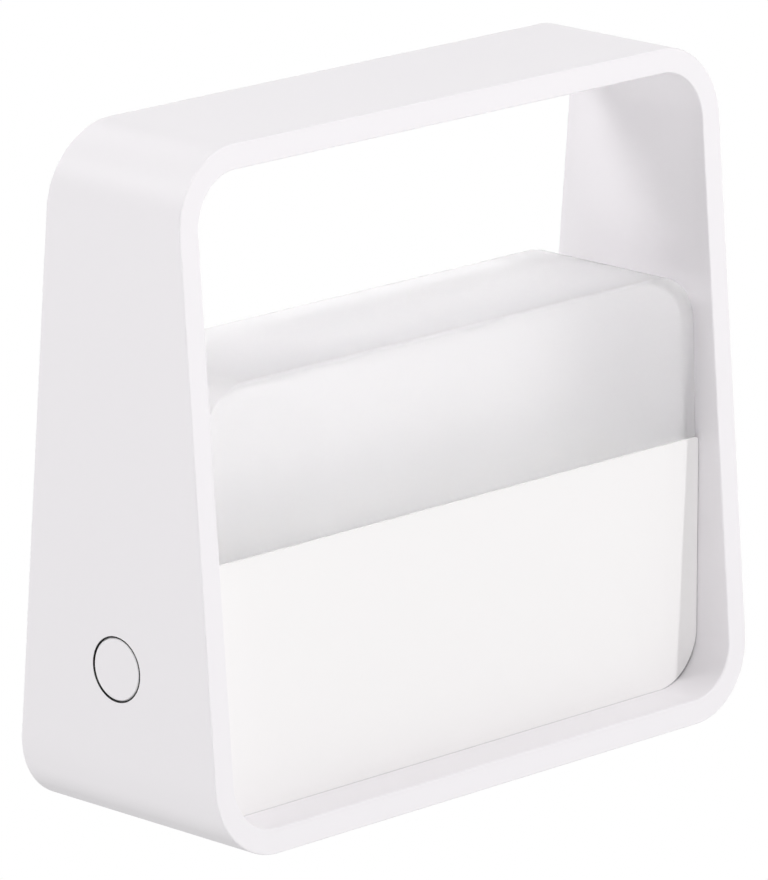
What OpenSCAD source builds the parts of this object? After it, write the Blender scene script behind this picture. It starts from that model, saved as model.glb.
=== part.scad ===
// Cordless table lamp: a tapered closed frame that is also the handle, a battery body seated in
// its lower half, a frosted light cap on the body and a push button in the left-hand side.
// Millimetres, +Z up, front face towards -Y, origin on the table under the middle of the frame.

/* [Frame] */
// Width of the frame
frame_w = 240; // [234:1:280]
// Height of the frame, without the feet
frame_h = 220; // [200:1:260]
// Depth of the frame at the table
frame_d_bottom = 90.5; // [84:0.5:120]
// Depth of the frame at the top
frame_d_top = 54.5; // [40:0.5:80]
// Thickness of the frame's wall
frame_wall = 8; // [7.5:0.5:10]
// Outer radius of the frame's corners
frame_corner_r = 25; // [20:0.5:26]

/* [Body] */
// Height of the body above the frame's floor
body_h = 82; // [81:0.5:96]
// Depth of the body from front face to rear face
body_d = 58.2; // [57:0.1:66]
// Radius of the body's upper corners
body_top_r = 1.5; // [0.5:0.1:2]
// Thickness of the body's two shells
shell_wall = 2.2; // [1.8:0.1:2.6]
// Room between the body and the frame's sides
body_gap = 0.3; // [0.2:0.05:0.6]
// Diameter of the screw bosses in the shells
boss_d = 7; // [6:0.5:8]

/* [Light cap] */
// Height of the light cap above the body
cap_h = 55.5; // [45:0.5:70]
// How far the light cap's faces stand behind the body's faces
cap_setback = 0.85; // [0.4:0.05:2]
// Room between the light cap and the frame's sides
cap_gap = 0.5; // [0.4:0.05:1.5]
// Thickness of the light cap's wall
cap_wall = 3.2; // [2.8:0.1:4]
// Radius of the light cap's upper corners
cap_corner_r = 18; // [8:0.5:22]
// Angle at which the light cap's ends lean in
cap_draft = 2; // [0:0.5:4]
// Depth of the rim that drops inside the shells
cap_rim_h = 3.5; // [2.5:0.5:5]

/* [Light engine] */
// Depth of the light engine's plate below the top of the body
plate_drop = 10; // [9.5:0.5:11.5]
// Thickness of the heat plate
plate_t = 2; // [1.5:0.1:3]
// Distance from the frame's side to the end of the lamp board
lamp_board_inset = 25; // [24:0.5:40]
// Width of the lamp board
lamp_board_w = 16; // [12:0.5:22]
// Number of light emitting chips
chip_n = 14; // [8:1:20]

/* [Button] */
// Diameter of the button
button_d = 20; // [16:0.5:24]
// Gap round the button
button_gap = 0.5; // [0.3:0.05:0.8]
// Height of the button's centre above the foot of the frame
button_z = 54.5; // [42:0.5:55]
// Travel of the button
button_travel = 1.2; // [0.8:0.1:1.5]
// Thickness of the frame's lip in front of the button's flange
button_lip = 3; // [2.5:0.1:3.2]
// Diameter of the push pin behind the button
pin_d = 6; // [5:0.5:7]

/* [Battery] */
// Diameter of a cell
cell_d = 18.4; // [17:0.1:18.8]
// Length of a cell
cell_l = 65; // [60:0.5:68]

/* [Feet and screws] */
// Diameter of a foot pad
foot_d = 14; // [11:0.5:16]
// How far a foot pad stands proud of the frame
foot_proud = 0.6; // [0.4:0.1:1.5]
// Thickness of a foot pad
foot_t = 2; // [1.8:0.1:2.6]
// Distance from the frame's side to the middle of a foot
foot_inset = 34; // [33:0.5:38]
// Distance between the feet along the depth
foot_span_y = 34; // [30:0.5:36]
// Diameter of the frame screws
screw_d = 3; // [2.5:0.1:3.5]

/* [Hidden] */
$fn = 96;

// Heights, from the table up
frame_z = foot_proud;
frame_top = frame_z + frame_h;
floor_z = frame_z + frame_wall;
body_top = floor_z + body_h;
shell_floor = floor_z + shell_wall;
plate_z = body_top - plate_drop;
lamp_z = plate_z + plate_t;
cap_top = body_top + cap_h;

// Half sizes of the body and of the room inside its shells
inner_r = frame_corner_r - frame_wall;
body_x = frame_w / 2 - frame_wall - body_gap;
body_y = body_d / 2;
body_r = inner_r - body_gap;
room_x = body_x - shell_wall;
room_y = body_y - shell_wall;
room_r = body_r - shell_wall;

// General clearances and small thicknesses
fit = 0.2;
screw_fit = 0.03;
slack = 0.1;
board_t = 1.6;
over = 1;

// Light cap
cap_x = frame_w / 2 - frame_wall - cap_gap;
cap_y = body_y - cap_setback;
cap_room_x = cap_x - cap_wall;
cap_room_y = cap_y - cap_wall;
rim_x = room_x - fit;
rim_y = room_y - fit;
catch_x = frame_w / 4;
catch_w = 10;
catch_drop = cap_rim_h + 0.5;
catch_h = 1.4;
catch_reach = 0.6;
hook_reach = 0.6;
hook_lip = 0.4;
leg_w = 9;
leg_h = 7.4;
leg_t = rim_y - cap_room_y - hook_reach - slack / 2;

// Light engine
plate_margin_x = 2;
plate_margin_y = 1;
plate_x = room_x - plate_margin_x;
plate_y = cap_room_y - plate_margin_y;
ledge_w = 5;
ledge_t = 2;
plate_screw_inset = 20;
plate_screw_x = frame_w / 2 - plate_screw_inset;
plate_screw_y = 17;
plate_screw_l = 10;
plate_boss_h = 11;
web_t = 2;
tray_t = 0.8;
tray_wall_h = 5;
chip_size = [3.5, 2.8, 0.8];
lamp_board_l = frame_w - 2 * lamp_board_inset;
chip_margin = 8;
chip_pitch = (lamp_board_l - 2 * chip_margin) / (chip_n - 1);
grommet_d = 7;
grommet_lip = 1;
grommet_bore = 4.2;
grommet_x = lamp_board_l / 2 - grommet_d;
grommet_y = -lamp_board_w / 2 - grommet_d / 2 - 2.5 * grommet_lip;

// Small screws of the light engine, the battery and the main board
small_d = 2.5;
small_head_d = 4.6;
small_head_h = 1.5;
pilot_floor = 2;

// Button and switch, measured inwards from the frame's left-hand face
button_height = frame_z + button_z;
button_edge = 0.5;
gasket_t = 0.6;
gasket_sink = 0.05;
gasket_fit = 0.06;
flange_lip = 2;
flange_d = button_d + 2 * flange_lip;
flange_t = 1.5;
slide_fit = 0.08;
pocket_d = flange_d + 2 * slide_fit;
flange_in = button_lip + gasket_t;
flange_out = flange_in + flange_t;
body_in = frame_wall + body_gap;
room_in = body_in + shell_wall;
pin_fit = 0.05;
pin_step = 0.4;
stem_d = pin_d - 2 * pin_step;
stem_end = body_in - slack;
pin_collar_w = 1.5;
pin_collar_d = pin_d + 2 * pin_collar_w;
pin_collar_t = 1;
pin_collar_in = room_in + fit;
pin_nose_d = 3.2;
pin_nose_l = 1.4;
pin_end = pin_collar_in + pin_collar_t + pin_nose_l;
actuator_d = 3.5;
actuator_in = pin_end + slack;
actuator_l = 3.4;
actuator_out = 2;
switch_in = actuator_in + actuator_out;
switch_h = 4;
switch_size = 6;
switch_bore_l = actuator_l - actuator_out + button_travel + fit;
switch_board_in = switch_in + switch_h;
switch_board_h = 26;
slot_rib_t = 2;
slot_rib_h = 3;
spring_wire = 0.6;
spring_r = 7.5;
spring_turns = 2.5;

// Battery
foot_x = frame_w / 2 - foot_inset;
foot_y = foot_span_y / 2;
cell_end_gap = 1;
cell_side_gap = 0.8;
cell_x = -foot_x + boss_d / 2 + cell_end_gap + cell_l / 2;
cell_pitch = cell_d + cell_side_gap;
cell_nub_d = 6;
cell_nub_h = 1;
cradle_floor = 1.6;
cell_z = shell_floor + cradle_floor + cell_d / 2;
cell_fit = 0.15;
link_t = 0.3;
link_h = 7;
link_over = 4;
cradle_end = 5;
cradle_l = cell_l - 2 * cradle_end;
cradle_drop = 2;
cradle_gap = 0.6;
cradle_y = room_y - cradle_gap;
cradle_post_h = 4;
cradle_post_d = 5;
cradle_ear_t = 3;
cradle_ear_z = shell_floor + cradle_post_h + cradle_ear_t;
strap_t = 1.2;
strap_w = 12;
strap_y = cell_pitch / 2 + cell_d / 2 + cell_fit;
strap_screw_edge = 2.8;
strap_screw_y = cradle_y - strap_screw_edge;
strap_screw_l = strap_t + cradle_ear_t + cradle_post_h - 1;
strap_top = cell_z + cell_d / 2 + cell_fit + strap_t;

// Main board
board_end_gap = 6;
board_side_gap = 0.8;
board_x0 = cell_x + cell_l / 2 + board_end_gap;
board_x1 = foot_x - boss_d / 2 - board_end_gap;
board_l = board_x1 - board_x0;
board_y = room_y - board_side_gap;
board_post_h = 4.6;
board_z = shell_floor + board_post_h;
board_top = board_z + board_t;
board_post_inset = 3.5;
board_post_x = [board_x0 + board_post_inset, board_x1 - board_post_inset];
board_post_y = 19;
board_post_d = 6;
board_screw_l = board_t + board_post_h - 1;
coil_d = 10;
coil_h = 5;
can_d = 6.3;
can_h = 7;
package_w = 6;
package_h = 1.5;
usb_w = 9;
usb_h = 3.2;
usb_wall = 0.4;
usb_l = 7.4;
usb_back = 1;
usb_recess = 0.5;
usb_tongue_w = 6.6;
usb_tongue_t = 0.7;
usb_tongue_drop = 0.8;
usb_x = board_x0 + 2 * board_post_inset + board_post_inset;
socket_size = [7, 5, 6];
socket_inset = 6;
socket_x = [board_x0 + socket_inset, board_x0 + board_l / 4, board_x1 - 2 * socket_inset];
socket_y = -13;
socket_top = board_top + socket_size[2];
switch_plug = [5, 7, 5];
switch_plug_x = -frame_w / 2 + switch_board_in + board_t;
switch_plug_y = -7;
switch_plug_z = button_height - 4.5;

// Frame screws and feet
head_d = 5.7;
head_h = 2.4;
head_room = 0.4;
frame_boss_h = 12;
boss_floor = 1.5;
screw_seat = foot_t + head_room + head_h;
screw_l = floor_z - screw_seat + shell_wall + frame_boss_h - boss_floor - 1;
foot_edge = 0.3;

// Leads: routes between a plug or pad and a socket of the main board, the bends chosen by hand
// as multiples of one length
wire_r = 0.7;
wire_gap = 2.2;
wire_sides = 8;
bend = 4;
link_face = [cell_x + cell_l / 2 + link_t + fit, -link_h, cell_z + link_h / 4];
battery_end = [socket_x[0], socket_y, socket_top + fit];
battery_route = [
    link_face, link_face + bend * [0.5, 0, 0], link_face + bend * [1.2, -0.3, 1],
    battery_end + bend * [-0.6, 0.2, 2], battery_end + bend * [0, 0, 1], battery_end
];
lamp_start = [socket_x[2], socket_y, socket_top + fit];
lamp_pad = [grommet_x, -lamp_board_w / 2 + wire_gap, lamp_z + board_t + fit];
lamp_hole = [grommet_x, grommet_y, plate_z];
lamp_route = [
    lamp_start, lamp_start + bend * [0, 0, 1.2], lamp_start + bend * [1, 0, 4],
    lamp_hole + bend * [-0.8, 0, -5], lamp_hole + bend * [0, 0, -2],
    lamp_hole + [0, 0, plate_t + grommet_lip], lamp_pad + bend * [0, -1.1, 0.8],
    lamp_pad + bend * [0, -0.25, 0.9], lamp_pad + bend * [0, 0, 0.4], lamp_pad
];
plug_face = [switch_plug_x + switch_plug[0] + fit, switch_plug_y, switch_plug_z];
switch_end = [socket_x[1], socket_y, socket_top + fit];
switch_route = [
    plug_face, plug_face + bend * [1, 0, 0], plug_face + bend * [3.5, -0.5, -2],
    [cell_x - strap_w, socket_y + bend / 2, strap_top + bend],
    [cell_x + strap_w / 2, socket_y, strap_top + bend / 2],
    [cell_x + cell_l / 2, socket_y, strap_top + bend],
    switch_end + bend * [-3, 0, 3], switch_end + bend * [-0.5, 0, 2.2],
    switch_end + bend * [0, 0, 1], switch_end
];

// Small helpers

function corners(x, y) = [for (sx = [-1, 1], sy = [-1, 1]) [sx * x, sy * y]];

// Rectangle from -x to x and z0 to z1, with the radius r on its lower corners and q on its upper ones
module round_panel(x, z0, z1, r = 0, q = 0) {
    translate([-x, z0 + r]) square([2 * x, z1 - z0 - r - q]);
    if (r > 0) {
        translate([-x + r, z0]) square([2 * (x - r), r]);
        for (s = [-1, 1]) translate([s * (x - r), z0 + r]) circle(r);
    }
    if (q > 0) {
        translate([-x + q, z1 - q]) square([2 * (x - q), q]);
        for (s = [-1, 1]) translate([s * (x - q), z1 - q]) circle(q);
    }
}

// Draws a front-view outline and gives it the depth from y0 to y1
module along_y(y0, y1) {
    translate([0, y1, 0]) rotate([90, 0, 0]) linear_extrude(y1 - y0) children();
}

// Puts children, drawn along +Z from 0, at the button's centre and pointing into the lamp
module at_button(depth = 0) {
    translate([-frame_w / 2 + depth, 0, button_height]) rotate([0, 90, 0]) children();
}

module plate_box(x0, x1, y0, y1, z0, z1) {
    translate([x0, y0, z0]) cube([x1 - x0, y1 - y0, z1 - z0]);
}

// Pan-head screw with a six-sided socket; its shank points along +Z and its head lies below z = 0
module pan_screw(d, l, head, h) {
    difference() {
        union() {
            cylinder(d = d, h = l);
            translate([0, 0, -h]) cylinder(d = head, h = h);
        }
        translate([0, 0, -h - over]) cylinder(d = d * 0.9, h = over + h * 0.55, $fn = 6);
    }
}

// Points of a curve that runs through the given ones, steps to a span
function curve_point(p, i, t) =
    let (a = p[max(i - 1, 0)], b = p[i], c = p[i + 1], d = p[min(i + 2, len(p) - 1)])
    0.5 * (2 * b + (c - a) * t + (2 * a - 5 * b + 4 * c - d) * t * t + (3 * b - a - 3 * c + d) * t * t * t);
function curve(p, steps) = concat(
    [for (i = [0 : len(p) - 2], k = [0 : steps - 1]) curve_point(p, i, k / steps)], [p[len(p) - 1]]
);
function unit(v) = v / norm(v);
function heading(p, i) = unit(p[min(i + 1, len(p) - 1)] - p[max(i - 1, 0)]);

// A round tube along a line of points; side is any direction that the line never runs along
module tube(p, r, side, sides = 8) {
    n = len(p);
    rings = [for (i = [0 : n - 1])
        let (h = heading(p, i), a = unit(cross(h, side)), b = cross(h, a))
        for (k = [0 : sides - 1]) p[i] + r * (cos(360 * k / sides) * a + sin(360 * k / sides) * b)];
    walls = [for (i = [0 : n - 2], k = [0 : sides - 1])
        let (m = (k + 1) % sides)
        each [[i * sides + k, i * sides + m, (i + 1) * sides + m],
              [i * sides + k, (i + 1) * sides + m, (i + 1) * sides + k]]];
    ends = concat([[for (k = [sides - 1 : -1 : 0]) k]], [[for (k = [0 : sides - 1]) (n - 1) * sides + k]]);
    polyhedron(rings, concat(walls, ends));
}

// Two insulated wires side by side along one route
module wire_pair(route, side) {
    path = curve(route, 3);
    for (s = [-0.5, 0.5]) tube([for (q = path) q + s * wire_gap * unit(side)], wire_r, side, wire_sides);
}

// Frame

// One closed band: a rounded rectangle seen from the front, whose front and rear lean in to the top
module frame_ring() {
    color("whitesmoke") difference() {
        intersection() {
            along_y(-frame_d_bottom, frame_d_bottom) difference() {
                round_panel(frame_w / 2, frame_z, frame_top, frame_corner_r, frame_corner_r);
                round_panel(frame_w / 2 - frame_wall, floor_z, frame_top - frame_wall, inner_r, inner_r);
            }
            rotate([90, 0, 90]) linear_extrude(frame_w + 2 * over, center = true) polygon([
                [-frame_d_bottom / 2, frame_z], [frame_d_bottom / 2, frame_z],
                [frame_d_top / 2, frame_top], [-frame_d_top / 2, frame_top]
            ]);
        }
        at_button(-over) cylinder(d = button_d + 2 * button_gap, h = frame_wall + 2 * over);
        at_button(button_lip) cylinder(d = pocket_d, h = frame_wall);
        for (p = corners(foot_x, foot_y)) translate([p[0], p[1], 0]) {
            cylinder(d = foot_d + 2 * slack, h = foot_t);
            cylinder(d = head_d + 2 * fit, h = screw_seat);
            cylinder(d = screw_d + 2 * fit, h = floor_z + over);
        }
    }
}

// Body shells

module shell_outline() {
    round_panel(body_x, floor_z, body_top, body_r, body_top_r);
}

module shell_room() {
    round_panel(room_x, shell_floor, body_top + over, room_r);
}

// Everything that stands inside one shell, on the front half; the rear half is its mirror image
module shell_inside() {
    // ledge that carries the heat plate
    plate_box(-room_x, room_x, -room_y, -room_y + ledge_w, plate_z - ledge_t, plate_z);
    for (s = [-1, 1]) {
        // catch for a leg of the light cap
        plate_box(s * catch_x - catch_w / 2, s * catch_x + catch_w / 2, -room_y, -room_y + catch_reach,
            body_top - catch_drop - catch_h, body_top - catch_drop);
        // boss under a screw of the heat plate, with its web to the wall
        translate([s * plate_screw_x, -plate_screw_y, plate_z - plate_boss_h])
            cylinder(d = boss_d, h = plate_boss_h);
        plate_box(s * plate_screw_x - web_t / 2, s * plate_screw_x + web_t / 2, -room_y, -plate_screw_y,
            plate_z - plate_boss_h, plate_z);
        // boss over a screw of the frame
        translate([s * foot_x, -foot_y, floor_z]) cylinder(d = boss_d, h = shell_wall + frame_boss_h);
    }
    // posts under the main board and under an ear of the battery cradle
    for (x = board_post_x) translate([x, -board_post_y, floor_z])
        cylinder(d = board_post_d, h = shell_wall + board_post_h);
    translate([cell_x, -strap_screw_y, floor_z]) cylinder(d = cradle_post_d, h = shell_wall + cradle_post_h);
    // ribs that hold an edge of the switch board
    for (d = [-slot_rib_t - slack, board_t + slack])
        plate_box(-frame_w / 2 + switch_board_in + d, -frame_w / 2 + switch_board_in + d + slot_rib_t,
            -room_y, -room_y + slot_rib_h,
            button_height - switch_board_h / 2 - slot_rib_t, button_height + switch_board_h / 2);
    // sill under the switch board
    plate_box(-frame_w / 2 + switch_board_in - slack, -frame_w / 2 + switch_board_in + board_t + slack,
        -room_y, -room_y + slot_rib_h,
        button_height - switch_board_h / 2 - slot_rib_t, button_height - switch_board_h / 2);
}

// Screw and pin holes of the front half
module shell_holes() {
    for (s = [-1, 1]) {
        translate([s * plate_screw_x, -plate_screw_y, plate_z - plate_boss_h + pilot_floor])
            cylinder(d = small_d + 2 * screw_fit, h = plate_boss_h);
        translate([s * foot_x, -foot_y, floor_z - over])
            cylinder(d = screw_d + 2 * screw_fit, h = over + shell_wall + frame_boss_h - boss_floor);
    }
    translate([cell_x, -strap_screw_y, shell_floor])
        cylinder(d = small_d + 2 * screw_fit, h = cradle_post_h + over);
    at_button(frame_wall) cylinder(d = pin_d + 2 * pin_fit, h = body_gap + shell_wall + over);
}

// The front half of the body, up to the middle plane
module half_shell() {
    difference() {
        union() {
            along_y(-body_y, -room_y) shell_outline();
            along_y(-room_y, 0) difference() {
                shell_outline();
                shell_room();
            }
            intersection() {
                shell_inside();
                along_y(-body_y, 0) shell_outline();
            }
        }
        shell_holes();
    }
}

module front_shell() {
    color("white") half_shell();
}

module rear_shell() {
    color("white") difference() {
        mirror([0, 1, 0]) half_shell();
        // mouth for the charging socket
        along_y(room_y - over, body_y + over) translate([usb_x, board_top + usb_h / 2])
            stadium(usb_w + 2 * fit, usb_h + 2 * fit);
        for (x = board_post_x) translate([x, board_post_y, board_z - board_post_h])
            cylinder(d = small_d + 2 * screw_fit, h = board_post_h + over);
    }
}

module stadium(w, h) {
    square([w - h, h], center = true);
    for (s = [-1, 1]) translate([s * (w - h) / 2, 0]) circle(d = h);
}

// Light cap

// Front view of the hood, x wide each way at the body's top: ends that lean in, round upper corners
module hood_outline(x, z0, z1, r) {
    lean = tan(cap_draft);
    turn_x = x - (z1 - r - body_top) * lean - r / cos(cap_draft);
    side_x = turn_x + r * cos(cap_draft);
    side_z = z1 - r + r * sin(cap_draft);
    low_x = x + (body_top - z0) * lean;
    polygon([
        [-low_x, z0], [low_x, z0], [side_x, side_z], [turn_x, z1], [-turn_x, z1], [-side_x, side_z]
    ]);
    for (s = [-1, 1]) translate([s * turn_x, z1 - r]) circle(r);
}

// Frosted hood, open below, whose rim and four hooked legs drop inside the shells
module light_cap() {
    color("ghostwhite") {
        difference() {
            union() {
                along_y(-cap_y, cap_y) hood_outline(cap_x, body_top, cap_top, cap_corner_r);
                plate_box(-rim_x, rim_x, -rim_y, rim_y, body_top - cap_rim_h, body_top + over);
            }
            along_y(-cap_room_y, cap_room_y) hood_outline(
                cap_room_x, body_top - cap_rim_h - over, cap_top - cap_wall, cap_corner_r - cap_wall);
        }
        for (sx = [-1, 1], sy = [0, 1]) mirror([0, sy, 0]) translate([sx * catch_x, 0, 0]) cap_leg();
    }
}

module cap_leg() {
    inside = -cap_room_y;
    outside = inside - leg_t;
    hook = outside - hook_reach;
    hook_top = body_top - catch_drop - catch_h - slack;
    rotate([90, 0, 90]) linear_extrude(leg_w, center = true) polygon([
        [inside, body_top], [inside, body_top - leg_h], [outside, body_top - leg_h],
        [hook, hook_top - hook_lip], [hook, hook_top], [outside, hook_top], [outside, body_top]
    ]);
}

// Light engine

module heat_plate() {
    color("silver") difference() {
        plate_box(-plate_x, plate_x, -plate_y, plate_y, plate_z, plate_z + plate_t);
        for (p = corners(plate_screw_x, plate_screw_y)) translate([p[0], p[1], plate_z - over])
            cylinder(d = small_d + 2 * fit, h = plate_t + 2 * over);
        translate([grommet_x, grommet_y, plate_z - over]) cylinder(d = grommet_d, h = plate_t + 2 * over);
    }
}

module lamp_board() {
    color("honeydew") plate_box(-lamp_board_l / 2, lamp_board_l / 2, -lamp_board_w / 2, lamp_board_w / 2,
        lamp_z, lamp_z + board_t);
}

module lamp_chips() {
    color("khaki") for (i = [0 : chip_n - 1])
        translate([(i - (chip_n - 1) / 2) * chip_pitch, 0, lamp_z + board_t + chip_size[2] / 2])
            cube(chip_size, center = true);
}

// White tray round the lamp board: a thin floor with a slot for the board, and an upright rim
module reflector_tray() {
    slot_x = lamp_board_l / 2 + fit;
    slot_y = lamp_board_w / 2 + fit;
    color("white") difference() {
        plate_box(-plate_x, plate_x, -plate_y, plate_y, lamp_z, lamp_z + tray_wall_h);
        plate_box(-plate_x + tray_t, plate_x - tray_t, -plate_y + tray_t, plate_y - tray_t,
            lamp_z + tray_t, lamp_z + tray_wall_h + over);
        plate_box(-slot_x, slot_x, -slot_y, slot_y, lamp_z - over, lamp_z + 2 * tray_t);
        for (p = corners(plate_screw_x, plate_screw_y)) translate([p[0], p[1], lamp_z - over])
            cylinder(d = small_head_d + 2 * fit, h = tray_t + 2 * over);
        translate([grommet_x, grommet_y, lamp_z - over])
            cylinder(d = grommet_d + 2 * grommet_lip + 2 * fit, h = tray_t + 2 * over);
    }
}

module plate_screws() {
    color("gray") for (p = corners(plate_screw_x, plate_screw_y)) translate([p[0], p[1], lamp_z])
        mirror([0, 0, 1]) pan_screw(small_d, plate_screw_l, small_head_d, small_head_h);
}

// Rubber sleeve where the lamp lead passes through the heat plate
module lead_grommet() {
    lip_d = grommet_d + 2 * grommet_lip;
    color("dimgray") translate([grommet_x, grommet_y, plate_z - grommet_lip]) difference() {
        union() {
            cylinder(d = lip_d, h = grommet_lip);
            cylinder(d = grommet_d - 2 * screw_fit, h = plate_t + 2 * grommet_lip);
            translate([0, 0, plate_t + grommet_lip]) cylinder(d = lip_d, h = grommet_lip);
        }
        translate([0, 0, -over]) cylinder(d = grommet_bore, h = plate_t + 2 * grommet_lip + 2 * over);
    }
}

// Button and switch

// Turned outline: flush face, flange behind the frame's lip, stem to the push pin
module button_cap() {
    color("white") at_button() rotate_extrude() polygon([
        [0, 0], [button_d / 2 - button_edge, 0], [button_d / 2, button_edge], [button_d / 2, flange_in],
        [flange_d / 2, flange_in], [flange_d / 2, flange_out], [stem_d / 2, flange_out],
        [stem_d / 2, stem_end], [0, stem_end]
    ]);
}

// Black seal: a sleeve that fills the gap round the button, on a foot behind the frame's lip
module button_gasket() {
    bore_r = button_d / 2 + gasket_fit;
    hole_r = button_d / 2 + button_gap;
    color("black") at_button() rotate_extrude() polygon([
        [bore_r, gasket_sink], [hole_r - screw_fit, gasket_sink], [hole_r - screw_fit, button_lip],
        [flange_d / 2, button_lip], [flange_d / 2, flange_in - slack], [bore_r, flange_in - slack]
    ]);
}

// Return spring between the flange and the body's side
module button_spring() {
    z0 = flange_out + spring_wire / 2 + slack;
    z1 = body_in - spring_wire / 2 - slack;
    steps = round(spring_turns * 20);
    coil = [for (i = [0 : steps])
        let (a = 360 * spring_turns * i / steps)
        [spring_r * cos(a), spring_r * sin(a), z0 + (z1 - z0) * i / steps]];
    color("silver") at_button() tube(coil, spring_wire / 2, [0, 0, 1], 6);
}

module push_pin() {
    color("gainsboro") at_button() rotate_extrude() polygon([
        [0, body_in], [pin_d / 2, body_in], [pin_d / 2, pin_collar_in],
        [pin_collar_d / 2, pin_collar_in], [pin_collar_d / 2, pin_collar_in + pin_collar_t],
        [pin_nose_d / 2, pin_collar_in + pin_collar_t], [pin_nose_d / 2, pin_end], [0, pin_end]
    ]);
}

module switch_actuator() {
    color("dimgray") at_button(actuator_in) cylinder(d = actuator_d, h = actuator_l);
}

module switch_housing() {
    color("black") difference() {
        at_button(switch_in) translate([-switch_size / 2, -switch_size / 2, 0])
            cube([switch_size, switch_size, switch_h]);
        at_button(switch_in - over) cylinder(d = actuator_d + 2 * slack, h = over + switch_bore_l);
    }
}

// Upright board, clamped at both edges between the shells' ribs
module switch_board() {
    x0 = -frame_w / 2 + switch_board_in;
    color("darkgreen") plate_box(x0, x0 + board_t, -room_y + fit, room_y - fit,
        button_height - switch_board_h / 2, button_height + switch_board_h / 2);
}

module switch_connector() {
    y0 = switch_plug_y - switch_plug[1] / 2;
    z0 = switch_plug_z - switch_plug[2] / 2;
    color("ivory") translate([switch_plug_x, y0, z0]) cube(switch_plug);
}

// Battery

// Trough for the two cells, with an ear on each side that rests on a post of a shell
module battery_cradle() {
    color("darkslategray") difference() {
        union() {
            plate_box(cell_x - cradle_l / 2, cell_x + cradle_l / 2, -cell_pitch, cell_pitch,
                shell_floor, cell_z - cradle_drop);
            plate_box(cell_x - strap_w / 2, cell_x + strap_w / 2, -cradle_y, cradle_y,
                shell_floor + cradle_post_h, cradle_ear_z);
        }
        for (s = [0, 1]) mirror([0, s, 0]) {
            translate([cell_x, cell_pitch / 2, cell_z]) rotate([0, 90, 0])
                cylinder(d = cell_d + 2 * cell_fit, h = cell_l, center = true);
            translate([cell_x, strap_screw_y, shell_floor])
                cylinder(d = small_d + 2 * fit, h = cradle_ear_z);
            // room for a leg of the hoop
            plate_box(cell_x - strap_w / 2 - slack, cell_x + strap_w / 2 + slack,
                strap_y - slack, strap_y + strap_t + slack, cradle_ear_z, body_top);
        }
    }
}

module battery_cells() {
    color("steelblue") for (s = [-1, 1]) translate([cell_x - cell_l / 2, s * cell_pitch / 2, cell_z])
        rotate([0, 90, 0]) {
            cylinder(d = cell_d, h = cell_l - cell_nub_h);
            cylinder(d = cell_nub_d, h = cell_l);
        }
}

// Welded tabs that join the cells at both ends
module cell_links() {
    link_y = cell_pitch / 2 + link_over;
    color("lightgray") for (x = [cell_x - cell_l / 2 - link_t, cell_x + cell_l / 2])
        plate_box(x, x + link_t, -link_y, link_y, cell_z - link_h / 2, cell_z + link_h / 2);
}

// Hoop over both cells, screwed down through the cradle's ears
module battery_strap() {
    r = cell_d / 2;
    color("black") translate([cell_x - strap_w / 2, 0, 0]) rotate([90, 0, 90]) difference() {
        linear_extrude(strap_w) intersection() {
            difference() {
                union() {
                    round_panel(strap_y + strap_t, cradle_ear_z, strap_top, 0, r + strap_t);
                    translate([-cradle_y, cradle_ear_z]) square([2 * cradle_y, strap_t]);
                }
                round_panel(strap_y, cradle_ear_z - over, strap_top - strap_t, 0, r);
            }
            translate([-cradle_y, cradle_ear_z]) square([2 * cradle_y, strap_top]);
        }
        for (s = [-1, 1]) translate([s * strap_screw_y, cradle_ear_z - over, strap_w / 2]) rotate([-90, 0, 0])
            cylinder(d = small_d + 2 * fit, h = strap_t + 2 * over);
    }
}

module strap_screws() {
    color("gray") for (s = [-1, 1]) translate([cell_x, s * strap_screw_y, cradle_ear_z + strap_t])
        mirror([0, 0, 1]) pan_screw(small_d, strap_screw_l, small_head_d, small_head_h);
}

// Main board

module main_board() {
    color("darkgreen") difference() {
        plate_box(board_x0, board_x1, -board_y, board_y, board_z, board_top);
        for (x = board_post_x) translate([x, board_post_y, board_z - over])
            cylinder(d = small_d + 2 * fit, h = board_t + 2 * over);
    }
}

// Driver and charger parts: coil, two capacitors, two flat packages
module board_chips() {
    color("dimgray") translate([board_x0, 0, board_top]) {
        translate([board_l * 0.56, 0, 0]) cylinder(d = coil_d, h = coil_h);
        for (k = [-1, 1]) translate([board_l * 0.74 + k * 0.65 * can_d, board_y / 3, 0])
            cylinder(d = can_d, h = can_h);
        for (k = [0.38, 0.72]) translate([board_l * k, -package_w, 0])
            cube([package_w, package_w, package_h]);
    }
}

module board_sockets() {
    color("ivory") for (x = socket_x)
        translate([x - socket_size[0] / 2, socket_y - socket_size[1] / 2, board_top]) cube(socket_size);
}

module board_screws() {
    color("gray") for (x = board_post_x) translate([x, board_post_y, board_top])
        mirror([0, 0, 1]) pan_screw(small_d, board_screw_l, small_head_d, small_head_h);
}

// Charging socket: a flat round-ended sleeve with its tongue, open to the rear
module usb_socket() {
    mouth = body_y - usb_recess;
    back = mouth - usb_l;
    z = board_top + usb_h / 2;
    color("silver") {
        difference() {
            along_y(back, mouth) translate([usb_x, z]) stadium(usb_w, usb_h);
            along_y(back + usb_back, mouth + over) translate([usb_x, z])
                stadium(usb_w - 2 * usb_wall, usb_h - 2 * usb_wall);
        }
        plate_box(usb_x - usb_tongue_w / 2, usb_x + usb_tongue_w / 2,
            back + usb_back / 2, mouth - usb_tongue_drop, z - usb_tongue_t / 2, z + usb_tongue_t / 2);
    }
}

// Leads

module battery_lead() {
    color("firebrick") wire_pair(battery_route, [0, 1, 0]);
}

module lamp_lead() {
    color("ivory") wire_pair(lamp_route, [1, 0, 0]);
}

module switch_lead() {
    color("gray") wire_pair(switch_route, [0, 1, 0]);
}

// Fasteners and feet

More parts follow.
